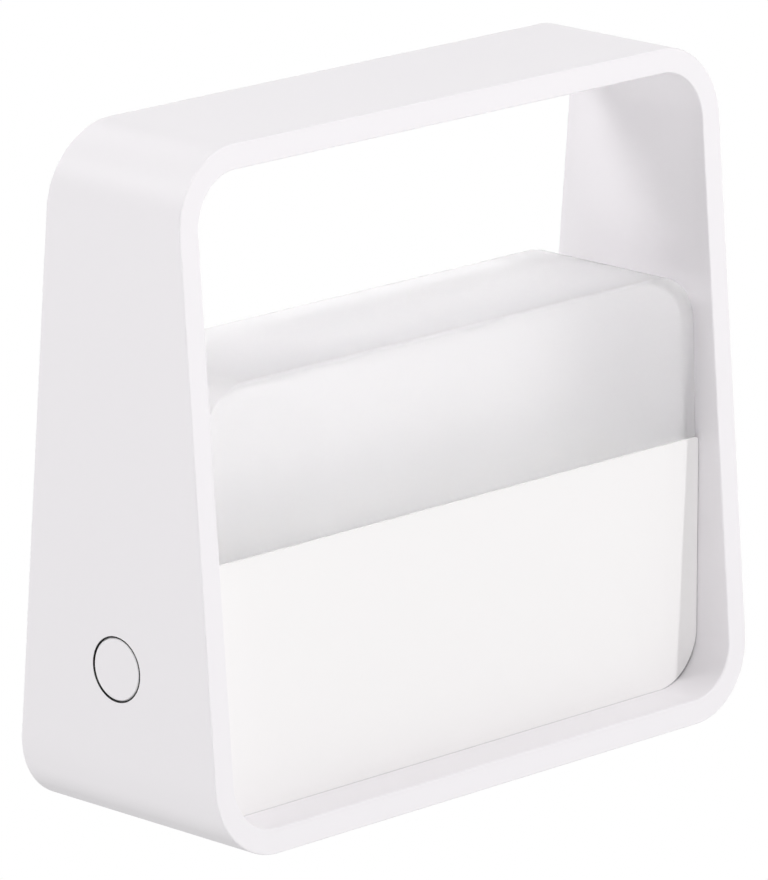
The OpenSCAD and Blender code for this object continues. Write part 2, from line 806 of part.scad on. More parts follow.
module frame_screws() {
    color("gray") for (p = corners(foot_x, foot_y))
        translate([p[0], p[1], screw_seat]) pan_screw(screw_d, screw_l, head_d, head_h);
}

module foot_pads() {
    color("dimgray") for (p = corners(foot_x, foot_y)) translate([p[0], p[1], 0])
        rotate_extrude() polygon([
            [0, 0], [foot_d / 2 - foot_edge, 0], [foot_d / 2, foot_edge], [foot_d / 2, foot_t], [0, foot_t]
        ]);
}

frame_ring();
front_shell();
rear_shell();
light_cap();
heat_plate();
lamp_board();
lamp_chips();
reflector_tray();
plate_screws();
lead_grommet();
button_cap();
button_gasket();
button_spring();
push_pin();
switch_actuator();
switch_housing();
switch_board();
switch_connector();
battery_cradle();
battery_cells();
cell_links();
battery_strap();
strap_screws();
main_board();
board_chips();
board_sockets();
board_screws();
usb_socket();
battery_lead();
lamp_lead();
switch_lead();
frame_screws();
foot_pads();
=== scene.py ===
import math

import bpy
import numpy as np
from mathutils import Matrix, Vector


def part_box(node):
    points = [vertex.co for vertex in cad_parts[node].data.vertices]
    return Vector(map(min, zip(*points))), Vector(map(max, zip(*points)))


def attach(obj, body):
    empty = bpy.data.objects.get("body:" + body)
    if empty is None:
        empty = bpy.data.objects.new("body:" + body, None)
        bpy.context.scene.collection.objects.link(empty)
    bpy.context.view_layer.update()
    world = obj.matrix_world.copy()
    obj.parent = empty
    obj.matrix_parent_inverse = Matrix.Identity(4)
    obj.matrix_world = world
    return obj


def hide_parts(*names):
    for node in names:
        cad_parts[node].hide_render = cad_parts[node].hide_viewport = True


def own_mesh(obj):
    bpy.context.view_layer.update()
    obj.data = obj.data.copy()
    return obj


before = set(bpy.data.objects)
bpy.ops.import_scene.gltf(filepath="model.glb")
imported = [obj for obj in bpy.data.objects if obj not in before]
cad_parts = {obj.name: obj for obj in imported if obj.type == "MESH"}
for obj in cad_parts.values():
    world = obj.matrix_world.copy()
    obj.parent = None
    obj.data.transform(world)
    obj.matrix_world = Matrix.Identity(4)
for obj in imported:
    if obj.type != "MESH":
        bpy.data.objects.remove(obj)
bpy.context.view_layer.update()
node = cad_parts

# Body shells
# Two white mouldings that meet on the lamp's middle plane and hold everything inside, with a fine
# spark-eroded skin. They stand in the frame, screwed down from below; the rear one has a charging mouth.
PATCH_SCALE = 14.0
GRAIN_SCALE = 2400.0
GRAIN_DEPTH = 0.0001
ROUGH_DRIFT = 0.04
SHELL_WHITE = (0.855, 0.84, 0.84)
SHELL_CORNER = 0.0167
# The next four draw painted shade in the joint at the shells' foot: its widths along the straight and at the
# rounds, then its colours there.
JOINT_LINE = 0.0003
JOINT_CORNER = 0.0004
FOOT_PAINTED_SHADE = (0.68, 0.67, 0.67)
CORNER_PAINTED_SHADE = (0.32, 0.31, 0.32)
shell_low, shell_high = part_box("front_shell")


def put(mat, kind, plugs, **settings):
    """Adds a shader node. Each plug is given a number, a colour, or the output of another node."""
    made = mat.node_tree.nodes.new("ShaderNode" + kind)
    for name, value in settings.items():
        setattr(made, name, value)
    for name, value in plugs.items():
        if isinstance(value, bpy.types.NodeSocket):
            mat.node_tree.links.new(value, made.inputs[name])
        else:
            made.inputs[name].default_value = value
    return made


def shader(mat):
    """The shader of a material's surface."""
    return mat.node_tree.nodes["Principled BSDF"]


def places(mat):
    """The piece's own coordinates, in metres."""
    return put(mat, "TexCoord", {}).outputs["Object"]


def surface(name, constants={}):
    """A new material, its shader with constant sockets set, and the piece's own coordinates."""
    mat = bpy.data.materials.new(name)
    mat.use_nodes = True
    shade = shader(mat)
    for plug, value in constants.items():
        shade.inputs[plug].default_value = value
    return mat, shade, places(mat)


def cloud(mat, where, scale, detail=2.0, stretch=None):
    """A soft random field from 0 to 1, scale waves to a metre; stretch multiplies the coordinates."""
    if stretch:
        where = put(mat, "Mapping", {"Vector": where, "Scale": stretch}).outputs["Vector"]
    return put(mat, "TexNoise", {"Vector": where, "Scale": scale, "Detail": detail}).outputs["Fac"]


def carry(mat, value, low, high, start=0.0, stop=1.0):
    """Carries a value from the span start to stop over to the span low to high."""
    plugs = {"Value": value, "From Min": start, "From Max": stop, "To Min": low, "To Max": high}
    return put(mat, "MapRange", plugs).outputs["Result"]


def tone(mat, value, first, second):
    """The first colour where the value is 0, the second where it is 1."""
    mix = put(mat, "Mix", {0: value}, data_type="RGBA")
    for plug, colour in ((6, first), (7, second)):
        if isinstance(colour, bpy.types.NodeSocket):
            mat.node_tree.links.new(colour, mix.inputs[plug])
        else:
            mix.inputs[plug].default_value = (*colour, 1)
    return mix.outputs[2]


def relief(mat, height, strength, depth):
    """The bent normal of a surface whose height field rises by depth metres."""
    return put(mat, "Bump", {"Height": height, "Strength": strength, "Distance": depth}).outputs["Normal"]


def link(mat, shade, plugs):
    """Links outputs to the shader's sockets."""
    for name, output in plugs.items():
        mat.node_tree.links.new(output, shade.inputs[name])


def satin_plastic(name, colour, rough, grain, drift=0.012, constants={}):
    """Moulded plastic: a fine spark-eroded grain in the bump, roughness that drifts in soft patches,
    and a faint drift of the colour over the piece."""
    mat, shade, where = surface(name, constants)
    patch = cloud(mat, where, PATCH_SCALE, 3.0)
    pits = cloud(mat, where, GRAIN_SCALE)
    link(mat, shade, {
        "Base Color": tone(mat, patch, [c * (1 - drift) for c in colour], colour),
        "Roughness": carry(mat, patch, rough - ROUGH_DRIFT, rough + ROUGH_DRIFT),
        "Normal": relief(mat, pits, grain, GRAIN_DEPTH),
    })
    return mat


def dress(names, material):
    """Gives CAD nodes one material of the scene's own."""
    for name in names:
        node[name].data.materials.clear()
        node[name].data.materials.append(material)


def calc(mat, operation, a, b=0.0):
    """One step of arithmetic on fields or numbers."""
    return put(mat, "Math", {0: a, 1: b}, operation=operation).outputs[0]


def axes(mat, where):
    """The three coordinates of a field of places."""
    return put(mat, "SeparateXYZ", {"Vector": where}).outputs


def far(mat, a, b):
    """The distance from the middle: the root of the sum of the squares of two coordinates from it."""
    return calc(mat, "SQRT", calc(mat, "ADD", calc(mat, "MULTIPLY", a, a), calc(mat, "MULTIPLY", b, b)))


def inside(mat, value, limit, soft=0.00004):
    """1 where the value is under the limit, 0 over it, with a short slope between."""
    return carry(mat, value, 1.0, 0.0, limit - soft, limit + soft)


def shell_plastic(name):
    """Satin plastic with a fine line of painted shade in the joint at its foot: a contact shadow on the
    frame, and at the rounds the shade of the gap to it. Seen from the front, the foot is a straight between
    two quarter rounds; the line is what lies within a small width of that outline. The width fades out up the
    sides and grows, with darker painted shade, towards the middle of each round."""
    mat = satin_plastic(name, SHELL_WHITE, 0.45, 0.12)
    shade = shader(mat)
    x, _, z = axes(mat, places(mat))
    side = calc(mat, "SUBTRACT", calc(mat, "ABSOLUTE", x), shell_high[0] - SHELL_CORNER)
    side = calc(mat, "MAXIMUM", side, 0.0)
    under = calc(mat, "MAXIMUM", calc(mat, "SUBTRACT", shell_low[2] + SHELL_CORNER, z), 0.0)
    inward = calc(mat, "SUBTRACT", SHELL_CORNER, far(mat, side, under))
    corner = carry(mat, calc(mat, "MULTIPLY", side, under), 0.0, 1.0, 0.0, SHELL_CORNER ** 2 / 2)
    line = carry(mat, under, 0.0, JOINT_LINE, 0.0, SHELL_CORNER / 2)
    width = calc(mat, "ADD", calc(mat, "MULTIPLY", corner, JOINT_CORNER), line)
    # Painted shade: a dark line along the foot for the contact shadow on the frame, and darker crescents at
    # the rounds for the shade of the gap.
    near = inside(mat, calc(mat, "SUBTRACT", inward, width), 0.0)
    unshaded = shade.inputs["Base Color"].links[0].from_socket
    dust_and_shade = tone(mat, corner, FOOT_PAINTED_SHADE, CORNER_PAINTED_SHADE)
    link(mat, shade, {"Base Color": tone(mat, near, unshaded, dust_and_shade)})
    return mat


dress(["front_shell", "rear_shell"], shell_plastic("shell_white_satin"))

# Battery
# Two steel cells in blue shrink sleeve lie in a black moulded cradle under a black hoop, joined at both
# ends by welded nickel strips. Two zinc plated screws hold the hoop through the cradle's ears.
ZINC = (0.62, 0.62, 0.6)
MOULDING_BLACK = (0.016, 0.016, 0.018)
FILM_BLUE = ((0.06, 0.17, 0.36), (0.08, 0.21, 0.42))
CELL_STEEL = (0.58, 0.58, 0.57)
NICKEL = (0.66, 0.63, 0.58)
WELD_BROWN = (0.34, 0.31, 0.28)
CELL_BARE_R = 0.0066
WELD_STEP = 0.0012
WELD_R = 0.0005
cell_low, cell_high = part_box("battery_cells")
cell_r = (cell_high[2] - cell_low[2]) / 2
cell_side = cell_high[1] - cell_r
cell_z = (cell_high[2] + cell_low[2]) / 2


def cell_sleeve(name):
    """Blue film round each cell, folded over its rims and drawn into fine wrinkles there, and bare
    steel in the middle of each end."""
    mat, shade, where = surface(name)
    _, y, z = axes(mat, where)
    across = calc(mat, "SUBTRACT", calc(mat, "ABSOLUTE", y), cell_side)
    bare = inside(mat, far(mat, across, calc(mat, "SUBTRACT", z, cell_z)), CELL_BARE_R)
    film = tone(mat, cloud(mat, where, 60.0, 3.0), *FILM_BLUE)
    wrinkle = cloud(mat, where, 300.0, 3.0, (0.4, 2.0, 2.0))
    link(mat, shade, {
        "Base Color": tone(mat, bare, film, CELL_STEEL),
        "Metallic": bare,
        "Roughness": carry(mat, wrinkle, 0.22, 0.36),
        "Normal": relief(mat, wrinkle, 0.25, 0.0002),
    })
    return mat


def nickel_strip(name):
    """Rolled nickel with four small weld dents over each cell."""
    mat, shade, where = surface(name, {"Metallic": 1.0})
    _, y, z = axes(mat, where)
    across = calc(mat, "ABSOLUTE", calc(mat, "SUBTRACT", calc(mat, "ABSOLUTE", y), cell_side))
    up = calc(mat, "ABSOLUTE", calc(mat, "SUBTRACT", z, cell_z))
    from_weld = far(mat, calc(mat, "SUBTRACT", across, WELD_STEP), calc(mat, "SUBTRACT", up, WELD_STEP))
    dent = inside(mat, from_weld, WELD_R)
    rolled = cloud(mat, where, 900.0, 2.0, (1.0, 0.04, 1.0))
    link(mat, shade, {
        "Base Color": tone(mat, dent, NICKEL, WELD_BROWN),
        "Roughness": carry(mat, rolled, 0.24, 0.4),
        "Normal": relief(mat, calc(mat, "SUBTRACT", rolled, dent), 0.3, 0.0001),
    })
    return mat


def plated_steel(name, colour):
    """Zinc plated steel: a faint yellow and blue bloom, and turning marks in the roughness."""
    mat, shade, where = surface(name, {"Metallic": 1.0})
    bloom = cloud(mat, where, 700.0, 3.0)
    marks = cloud(mat, where, 2600.0, 2.0, (1.0, 1.0, 0.3))
    link(mat, shade, {
        "Base Color": tone(mat, bloom, [c * k for c, k in zip(colour, (0.9, 0.93, 1.0))], colour),
        "Roughness": carry(mat, marks, 0.24, 0.42),
        "Normal": relief(mat, marks, 0.2, 0.00008),
    })
    return mat


zinc_screw = plated_steel("screw_zinc", ZINC)
black_moulding = satin_plastic("cradle_black_moulding", MOULDING_BLACK, 0.5, 0.35, 0.3)
dress(["battery_cradle", "battery_strap"], black_moulding)
dress(["battery_cells"], cell_sleeve("cell_shrink_sleeve"))
dress(["cell_links"], nickel_strip("link_nickel"))
dress(["strap_screws"], zinc_screw)

# Main board and charging socket
# A green glass-fibre board on two posts of the rear shell carries a coil, two capacitors, two flat packages,
# three pale sockets and the plated charging socket, whose tongue and contacts show in the rear shell's mouth.
GREEN = (0.012, 0.11, 0.045)
GREEN_TRACK = (0.03, 0.19, 0.08)
GLASS_EDGE = (0.42, 0.4, 0.22)
EPOXY_BLACK = ((0.012, 0.012, 0.013), (0.03, 0.03, 0.032))
CAN_TOP = (0.7, 0.7, 0.7)
SOCKET_NICKEL = ((0.6, 0.6, 0.61), (0.72, 0.72, 0.73))
CONTACT_GOLD = (0.83, 0.6, 0.22)
TONGUE_BLACK = (0.012, 0.012, 0.012)
COPPER_STEP = (3.6, 1.5)
COPPER_LINE = 0.11
CAN_CAP_H = 0.0006
TONGUE_HALF_W = 0.0034
TONGUE_HALF_T = 0.0004
CONTACT_STEP = 0.0005


def lines_on(mat, where, flat):
    """Copper tracks as the joints of a running bond, in millimetres, drawn in the plane of two axes."""
    parts = axes(mat, where)
    plane = put(mat, "CombineXYZ", {0: parts[flat[0]], 1: parts[flat[1]]}).outputs[0]
    bond = put(mat, "TexBrick", {
        "Vector": plane, "Scale": 1000.0, "Mortar Size": COPPER_LINE, "Mortar Smooth": 0.3,
        "Brick Width": COPPER_STEP[0], "Row Height": COPPER_STEP[1],
    })
    return bond.outputs["Fac"]


def facing(mat, axis):
    """1 on faces square to an axis, 0 on faces along it."""
    turned = axes(mat, put(mat, "NewGeometry", {}).outputs["Normal"])[axis]
    return calc(mat, "GREATER_THAN", calc(mat, "ABSOLUTE", turned), 0.5)


def solder_mask(name, mask, track, edge, flat, axis):
    """Lacquer over copper tracks on both faces, and the bare core at the edges."""
    mat, shade, where = surface(name)
    tracks = lines_on(mat, where, flat)
    lacquer = tone(mat, tracks, mask, track)
    haze = cloud(mat, where, 900.0, 3.0)
    link(mat, shade, {
        "Base Color": tone(mat, facing(mat, axis), edge, lacquer),
        "Roughness": carry(mat, haze, 0.26, 0.4),
        "Normal": relief(mat, tracks, 0.5, 0.00004),
    })
    return mat


def board_parts(name):
    """Black epoxy and ferrite, with the bare aluminium tops of the capacitors, which stand highest."""
    mat, shade, where = surface(name)
    top = calc(mat, "GREATER_THAN", axes(mat, where)[2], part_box("board_chips")[1][2] - CAN_CAP_H)
    speck = cloud(mat, where, 1800.0, 3.0)
    link(mat, shade, {
        "Base Color": tone(mat, top, tone(mat, speck, *EPOXY_BLACK), CAN_TOP),
        "Metallic": top,
        "Roughness": carry(mat, speck, 0.4, 0.58),
        "Normal": relief(mat, speck, 0.3, 0.00006),
    })
    return mat


def natural_nylon(name):
    """Undyed nylon: warm, a little translucent, with flow lines from the mould."""
    mat, shade, where = surface(name, {"Subsurface Weight": 0.2, "Subsurface Scale": 0.002})
    flow = cloud(mat, where, 260.0, 4.0, (1.0, 3.0, 1.0))
    link(mat, shade, {
        "Base Color": tone(mat, flow, (0.74, 0.7, 0.6), (0.82, 0.79, 0.7)),
        "Roughness": carry(mat, flow, 0.36, 0.5),
        "Normal": relief(mat, flow, 0.15, 0.0001),
    })
    return mat


def charging_metal(name):
    """Bright nickel drawn along the socket, a black tongue inside it, and gold contacts across the tongue."""
    mat, shade, where = surface(name)
    low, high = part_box("usb_socket")
    x, _, z = axes(mat, where)
    across = calc(mat, "SUBTRACT", x, (low[0] + high[0]) / 2)
    up = calc(mat, "ABSOLUTE", calc(mat, "SUBTRACT", z, (low[2] + high[2]) / 2))
    tongue = calc(mat, "MULTIPLY", inside(mat, calc(mat, "ABSOLUTE", across), TONGUE_HALF_W),
                  inside(mat, up, TONGUE_HALF_T))
    stripe = calc(mat, "LESS_THAN", calc(mat, "FRACT", calc(mat, "DIVIDE", across, CONTACT_STEP)), 0.5)
    gold = calc(mat, "MULTIPLY", calc(mat, "MULTIPLY", tongue, stripe), facing(mat, 2))
    plastic = calc(mat, "SUBTRACT", tongue, gold)
    drawn = cloud(mat, where, 1500.0, 2.0, (1.0, 0.06, 1.0))
    metal = tone(mat, gold, tone(mat, drawn, *SOCKET_NICKEL), CONTACT_GOLD)
    link(mat, shade, {
        "Base Color": tone(mat, plastic, metal, TONGUE_BLACK),
        "Metallic": calc(mat, "SUBTRACT", 1.0, plastic),
        "Roughness": carry(mat, drawn, 0.2, 0.36),
        "Normal": relief(mat, drawn, 0.12, 0.00006),
    })
    return mat


nylon = natural_nylon("socket_natural_nylon")
dress(["main_board"], solder_mask("board_green_flat", GREEN, GREEN_TRACK, GLASS_EDGE, (0, 1), 2))
dress(["board_chips"], board_parts("board_parts_black"))
dress(["board_sockets"], nylon)
dress(["board_screws"], zinc_screw)
dress(["usb_socket"], charging_metal("charging_nickel"))

# Switch
# A square tact switch on an upright green board that slides between ribs of the shells, pressed by the pin
# from the left; its pale plug takes the switch lead.
HOUSING_BLACK = (0.014, 0.014, 0.015)
ACTUATOR_BLACK = (0.024, 0.024, 0.025)
dress(["switch_board"], solder_mask("board_green_upright", GREEN, GREEN_TRACK, GLASS_EDGE, (1, 2), 0))
dress(["switch_housing"], satin_plastic("switch_black", HOUSING_BLACK, 0.42, 0.25, 0.3))
dress(["switch_actuator"], satin_plastic("actuator_black", ACTUATOR_BLACK, 0.5, 0.25, 0.3))
dress(["switch_connector"], nylon)

# Leads
# Pairs of thin wires in soft coloured insulation: red from the battery, white up to the lamp board through
# the grommet, grey from the switch. They are soldered or crimped at both ends and held by their routes.
LEAD_COLOURS = {
    "battery_lead": (0.42, 0.02, 0.018),
    "lamp_lead": (0.76, 0.74, 0.67),
    "switch_lead": (0.13, 0.135, 0.14),
}


def soft_insulation(name, colour):
    """Soft extruded insulation: slightly glossy, with long faint streaks and a little dust."""
    mat, shade, where = surface(name, {"Coat Weight": 0.15, "Coat Roughness": 0.3})
    streak = cloud(mat, where, 1200.0, 2.0, (0.2, 1.0, 0.2))
    link(mat, shade, {
        "Base Color": tone(mat, streak, [c * 0.82 for c in colour], colour),
        "Roughness": carry(mat, streak, 0.34, 0.5),
        "Normal": relief(mat, streak, 0.15, 0.00008),
    })
    return mat


for lead, colour in LEAD_COLOURS.items():
    dress([lead], soft_insulation(lead + "_insulation", colour))

# Light engine
# An aluminium heat plate on the shells' ledges carries a white metal-core board with its row of yellow
# chips, in a bright white tray; four screws go through it, and a rubber grommet guides the lead.
CHIP_W = 0.0035
CHIP_TRIANGLES = 12
CHIP_WINDOW = (0.0013, 0.001)
CHIP_WHITE = (0.86, 0.86, 0.84)
PHOSPHOR = ((0.8, 0.52, 0.08), (0.9, 0.66, 0.16))
SHEET_GREY = ((0.7, 0.71, 0.72), (0.8, 0.81, 0.82))
BOARD_WHITE = (0.84, 0.85, 0.83)
BOARD_TRACK = (0.78, 0.79, 0.76)
BOARD_EDGE = (0.66, 0.67, 0.68)
TRAY_WHITE = (0.9, 0.9, 0.9)
GROMMET_BLACK = (0.03, 0.03, 0.032)
chip_low, chip_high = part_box("lamp_chips")
chip_count = len(node["lamp_chips"].data.polygons) // CHIP_TRIANGLES
chip_step = (chip_high[0] - chip_low[0] - CHIP_W) / (chip_count - 1)


def rolled_aluminium(name):
    """Plain rolled sheet: long fine streaks along the length, with scattered handling marks."""
    mat, shade, where = surface(name, {"Metallic": 1.0})
    streak = cloud(mat, where, 1600.0, 3.0, (0.02, 1.0, 1.0))
    marks = cloud(mat, where, 90.0, 4.0)
    link(mat, shade, {
        "Base Color": tone(mat, marks, *SHEET_GREY),
        "Roughness": carry(mat, streak, 0.24, 0.42),
        "Normal": relief(mat, streak, 0.2, 0.00006),
    })
    return mat


def light_chip(name):
    """A white frame with an oval window of yellow phosphor on top, at every step of the row."""
    mat, shade, where = surface(name, {"Coat Weight": 0.4, "Coat Roughness": 0.1})
    x, y, _ = axes(mat, where)
    step = calc(mat, "DIVIDE", calc(mat, "SUBTRACT", x, chip_low[0] + CHIP_W / 2), chip_step)
    along = calc(mat, "MULTIPLY", calc(mat, "SUBTRACT", step, calc(mat, "ROUND", step)), chip_step)
    oval = far(mat, calc(mat, "DIVIDE", along, CHIP_WINDOW[0]), calc(mat, "DIVIDE", y, CHIP_WINDOW[1]))
    window = calc(mat, "MULTIPLY", inside(mat, oval, 1.0, 0.04), facing(mat, 2))
    grit = cloud(mat, where, 5000.0, 2.0)
    link(mat, shade, {
        "Base Color": tone(mat, window, CHIP_WHITE, tone(mat, grit, *PHOSPHOR)),
        "Roughness": carry(mat, grit, 0.3, 0.45),
        "Normal": relief(mat, calc(mat, "SUBTRACT", grit, window), 0.3, 0.00006),
    })
    return mat


def soft_rubber(name, colour):
    """Moulded rubber: matte, with a fine pebbled skin and a trace of dust in its hollows."""
    mat, shade, where = surface(name, {"Specular IOR Level": 0.3})
    pebble = put(mat, "TexVoronoi", {"Vector": where, "Scale": 1400.0}).outputs["Distance"]
    dust_and_shade = cloud(mat, where, 240.0, 4.0)
    link(mat, shade, {
        "Base Color": tone(mat, dust_and_shade, colour, [c * 1.35 for c in colour]),
        "Roughness": carry(mat, dust_and_shade, 0.68, 0.84),
        "Normal": relief(mat, pebble, 0.35, 0.0001),
    })
    return mat


dress(["heat_plate"], rolled_aluminium("plate_rolled_aluminium"))
dress(["lamp_board"], solder_mask("lamp_board_white", BOARD_WHITE, BOARD_TRACK, BOARD_EDGE, (0, 1), 2))
dress(["lamp_chips"], light_chip("chip_phosphor"))
dress(["reflector_tray"], satin_plastic("tray_bright_white", TRAY_WHITE, 0.24, 0.05))
dress(["plate_screws"], zinc_screw)
dress(["lead_grommet"], soft_rubber("grommet_rubber", GROMMET_BLACK))

# Light cap
# Frosted acrylic hood, open below, moulded with soft edges, round upper corners and ends that lean in.
# A rim and four hooked legs snap inside the shells. Unlit, it is milky and a little darker than they are.
CAP_MILK = (0.985, 0.977, 0.984)
CAP_CLEAR = (0.4, 0.7)
CAP_FADE = 0.0016
CAP_CORNER = 0.018
CAP_DRAFT = math.radians(2.0)
CAP_EDGE = 0.0007
CAP_WALL = 0.0032
CAP_ROOM_EDGE = 0.0004
CAP_TURN = np.radians(np.concatenate([np.linspace(math.degrees(CAP_DRAFT), 60, 13), np.linspace(62, 90, 15)]))
UPRIGHT_STEPS = 5
FOOT_STEP = 0.0005
CORNER_STEPS = 7
RIM_DROP = 0.0035
RIM_INSET = (0.0022, 0.0016)
LEG_X = 0.060
LEG_H = 0.0074
LEG_T = 0.001
LEG_HALF_W = 0.0045
LEG_LAP = 0.0010
HOOK_REACH = 0.0016
HOOK_TOP = 0.0055
HOOK_TIP = 0.0059
SHARP_TURN = math.radians(32)
cap_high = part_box("light_cap")[1]
cap_foot = shell_high[2]


def new_piece(name, points, faces, material, body):
    """Makes a piece from arrays of corners and of faces, smooth but for edges that turn sharply."""
    mesh = bpy.data.meshes.new(name)
    faces = [face for group in faces for face in group.tolist()]
    mesh.from_pydata(points.tolist(), [], faces)
    mesh.polygons.foreach_set("use_smooth", np.ones(len(faces), bool))
    mesh.set_sharp_from_angle(angle=SHARP_TURN)
    mesh.materials.append(material)
    mesh.update()
    piece = bpy.data.objects.new(name, mesh)
    bpy.context.scene.collection.objects.link(piece)
    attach(piece, body)
    return piece


def grid_quads(rows, cols, close_rows=False, close_cols=False):
    """Corner numbers of the quads of a grid whose corners are numbered row by row."""
    i = np.arange(rows if close_rows else rows - 1)
    j = np.arange(cols if close_cols else cols - 1)
    i, j = [a.ravel() for a in np.meshgrid(i, j, indexing="ij")]
    k, m = (i + 1) % rows, (j + 1) % cols
    return np.stack([i * cols + j, k * cols + j, k * cols + m, i * cols + m], 1)


def plan_loop(half_x, half_y, corner, z):
    """Rounded rectangles seen from above, one for each entry: four quarter turns joined by straights."""
    a = np.radians(np.concatenate([q + np.linspace(0, 90, CORNER_STEPS) for q in (0, 90, 180, 270)]))
    sx = np.repeat([1, -1, -1, 1], CORNER_STEPS)
    sy = np.repeat([1, 1, -1, -1], CORNER_STEPS)
    x = sx * (half_x - corner)[:, None] + corner[:, None] * np.cos(a)
    y = sy * (half_y - corner)[:, None] + corner[:, None] * np.sin(a)
    return np.stack([x, y, np.broadcast_to(z[:, None], x.shape)], -1)


def hood(half_x, half_y, foot, top, corner, edge):
    """Loops of a hood from its foot to its flat top: ends that lean in by the draft, then a round upper
    corner, while the long edges draw in over the last bit of height. half_x is taken at the body's top."""
    lean = math.tan(CAP_DRAFT)
    middle_z = top - corner
    middle_x = half_x - (middle_z - cap_foot) * lean - corner / math.cos(CAP_DRAFT)
    upright = np.linspace(foot, middle_z + corner * math.sin(CAP_DRAFT), UPRIGHT_STEPS + 1)[:-1]
    upright = np.insert(upright, 1, foot + FOOT_STEP)
    z = np.concatenate([upright, middle_z + corner * np.sin(CAP_TURN), [top]])
    x = np.concatenate([
        half_x - (upright - cap_foot) * lean, middle_x + corner * np.cos(CAP_TURN), [middle_x - edge],
    ])
    over = np.clip(z - (top - edge), 0, edge)
    y = half_y - edge + np.sqrt(edge ** 2 - over ** 2)
    y[-1] -= edge
    return np.stack([x, y, np.full(z.size, edge), z])


def loop_lid(first):
    """Quads across one loop of a hood, from its right-hand half to its left-hand half."""
    n = CORNER_STEPS
    right = np.concatenate([np.arange(3 * n, 4 * n), np.arange(n)])
    left = np.concatenate([np.arange(2 * n, 3 * n)[::-1], np.arange(n, 2 * n)[::-1]])
    return first + np.stack([right[:-1], right[1:], left[1:], left[:-1]], 1)


def cap_surface():
    """The hood's outer skin from the top down, the shoulder on the shells, the rim inside them, then
    the inner skin up to the top again, and a lid across each top."""
    half_x, half_y = cap_high[0], cap_high[1]
    outer = hood(half_x, half_y, cap_foot, cap_high[2], CAP_CORNER, CAP_EDGE)
    inner = hood(half_x - CAP_WALL, half_y - CAP_WALL, cap_foot - RIM_DROP, cap_high[2] - CAP_WALL,
                 CAP_CORNER - CAP_WALL, CAP_ROOM_EDGE)
    rim_x, rim_y = half_x - RIM_INSET[0], half_y - RIM_INSET[1]
    rim = np.array([
        [rim_x, rim_x], [rim_y, rim_y], [CAP_ROOM_EDGE, CAP_ROOM_EDGE], [cap_foot, cap_foot - RIM_DROP],
    ])
    loops = plan_loop(*np.concatenate([outer[:, ::-1], rim, inner], 1))
    rows, cols = loops.shape[:2]
    quads = np.concatenate([
        grid_quads(rows, cols, False, True), loop_lid(0), loop_lid((rows - 1) * cols)[:, ::-1],
    ])
    return loops.reshape(-1, 3), quads


def legs_surface():
    """Four prisms: a hooked outline in Y and Z carried along X, at both sides, front and rear."""
    wall = cap_high[1] - CAP_WALL
    outside, hook = wall + LEG_T, wall + HOOK_REACH
    outline = np.array([
        [wall, LEG_LAP - RIM_DROP], [wall, -LEG_H], [outside, -LEG_H], [hook, -HOOK_TIP],
        [hook, -HOOK_TOP], [outside, -HOOK_TOP], [outside, LEG_LAP - RIM_DROP],
    ])
    n = len(outline)
    place = np.array([(-1, -1), (-1, 1), (1, -1), (1, 1)])
    points = np.zeros((4, 2, n, 3))
    points[..., 0] = place[:, 0, None, None] * LEG_X + np.array([-LEG_HALF_W, LEG_HALF_W])[:, None]
    points[..., 1] = place[:, 1, None, None] * outline[:, 0]
    points[..., 2] = outline[:, 1] + cap_foot
    walls = grid_quads(2, n, False, True)
    ends = np.stack([np.arange(n), n + np.arange(n)[::-1]])
    start = 2 * n * np.arange(4)
    turned = place[:, 1] > 0
    quads = np.concatenate([(walls[:, ::-1] if t else walls) + s for s, t in zip(start, turned)])
    caps = np.concatenate([(ends[:, ::-1] if t else ends) + s for s, t in zip(start, turned)])
    return points.reshape(-1, 3), quads, caps


def frosted_acrylic(name):
    """Sand-blasted acrylic: light goes through it and blurs, so the hood is bright where it is lit from
    behind and darker towards its foot and its ends. The rim and the last bit above the shells let less
    light through, so that the dark joint below doesn't show in them."""
    mat = satin_plastic(name, CAP_MILK, 0.62, 0.10, 0.008, {"IOR": 1.16})
    height = axes(mat, places(mat))[2]
    clear = carry(mat, height, *CAP_CLEAR, cap_foot, cap_foot + CAP_FADE)
    link(mat, shader(mat), {"Transmission Weight": clear})
    return mat


cap_points, cap_quads = cap_surface()
leg_points, leg_quads, leg_ends = legs_surface()
cap = new_piece(
    "frosted_cap", np.concatenate([cap_points, leg_points]),
    [cap_quads, leg_quads + len(cap_points), leg_ends + len(cap_points)],
    frosted_acrylic("frosted_acrylic_cap"), "lamp")
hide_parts("light_cap")

# Frame ring
# One closed band of white satin plastic, moulded in one piece: foot, sides and carrying handle.
# Its front and rear lean in towards the top, and its left side is bored for the push button.
FRAME_WHITE = (0.825, 0.803, 0.825)
# The next three set the painted shade on the underside near the table: its colour, its height and its fade.
FRAME_UNDERSIDE_SHADE = (0.56, 0.545, 0.56)
UNDERSIDE_SHADE_H = 0.012
UNDERSIDE_SHADE_FADE = 0.004
FRAME_WALL = 0.008
FRAME_CORNER = 0.025
FRAME_DEPTH_TOP = 0.0545
FRAME_EDGE = 0.0005
EDGE_HOLD = 1.6
FRAME_TURN_STEPS = 25
FACE_STEPS = np.concatenate([[-1.0], np.linspace(-0.98, 0.98, 17), [1.0]])
EDGE_STEPS = 4
ACROSS_STEPS = 5
FLOOR_SPAN = 0.05
FOOT_STATIONS = 13
BUTTON_STATIONS = 17
HOLE_ROOM = 0.0085
BUTTON_ROOM = 0.026
BUTTON_HOLE_R = 0.0105
BUTTON_LIP = 0.003
BUTTON_POCKET_R = 0.01208
BUTTON_MARGIN = 0.0006
HOLE_ROUND = 0.0001
FOOT_R = 0.007
FOOT_RECESS = (0.0071, 0.0014)
HEAD_RECESS = (0.00305, 0.0042)
SCREW_HOLE_R = 0.0017
